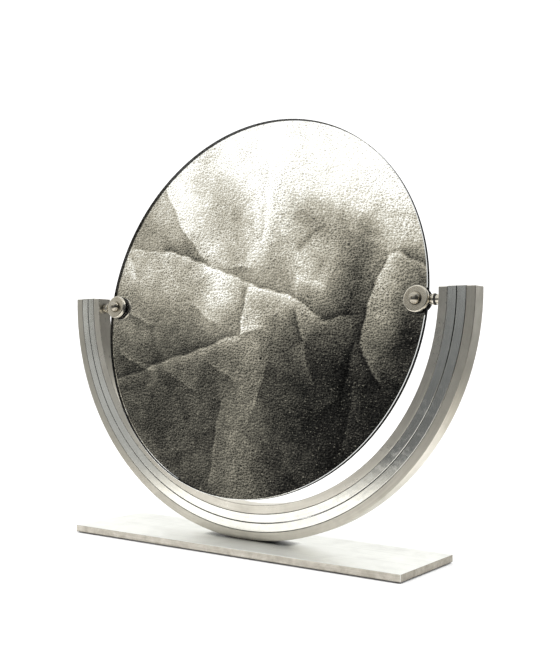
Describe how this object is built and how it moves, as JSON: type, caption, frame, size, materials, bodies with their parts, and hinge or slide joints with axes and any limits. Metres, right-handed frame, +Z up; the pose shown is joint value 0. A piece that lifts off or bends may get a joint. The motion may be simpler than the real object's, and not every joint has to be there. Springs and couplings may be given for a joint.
{
  "type": "countertop mirror",
  "caption": "Round tilting mirror held by knob clamps between the arms of a half-ring stand of nested flat bars on a rectangular base plate.",
  "frame": {"origin": "middle of the underside of the base pad, on the surface that the mirror stands on", "axes": "+X along the plate and the tilt axis, to the right of someone facing the glass; the glass faces -Y; +Z up"},
  "size_m": [0.446, 0.094, 0.398],
  "materials": {
    "satin_aluminium": "satin, fine brushed grain",
    "polished_aluminium": "polished, with fine scratches",
    "nickel": "satin nickel plate",
    "steel": "zinc-plated steel",
    "black_steel": "blackened steel, slightly glossy",
    "glass": "clear plate glass with a polished arris",
    "silvering": "silvered",
    "backing_paint": "matt dark grey protective paint",
    "black_rubber": "matt black",
    "felt": "short black felt"
  },
  "bodies": {
    "stand": {"base_pad": "felt", "base_plate": "satin_aluminium", "base_screws": "steel", "arch_bar_outer": "satin_aluminium", "arch_bar_second": "polished_aluminium", "arch_bar_third": "polished_aluminium", "arch_bar_inner": "satin_aluminium", "arm_bush_left": "nickel", "arm_bush_right": "nickel", "friction_washer_left": "black_rubber", "friction_washer_right": "black_rubber"},
    "mirror": {"mirror_glass": "glass", "silver_layer": "silvering", "backing_layer": "backing_paint", "pivot_stud_left": "nickel", "clamp_screw_left": "nickel", "cap_nut_left": "nickel", "clamp_disc_front_left": "nickel", "clamp_gasket_front_left": "black_rubber", "clamp_disc_rear_left": "black_steel", "clamp_gasket_rear_left": "black_rubber", "pivot_stud_right": "nickel", "clamp_screw_right": "nickel", "cap_nut_right": "nickel", "clamp_disc_front_right": "nickel", "clamp_gasket_front_right": "black_rubber", "clamp_disc_rear_right": "black_steel", "clamp_gasket_rear_right": "black_rubber"}
  },
  "joints": [
    {"name": "mirror_tilt", "type": "hinge", "parent": "stand", "child": "mirror", "pos_m": [0, 0, 0.2222], "axis": [1, 0, 0], "continuous": true}
  ]
}
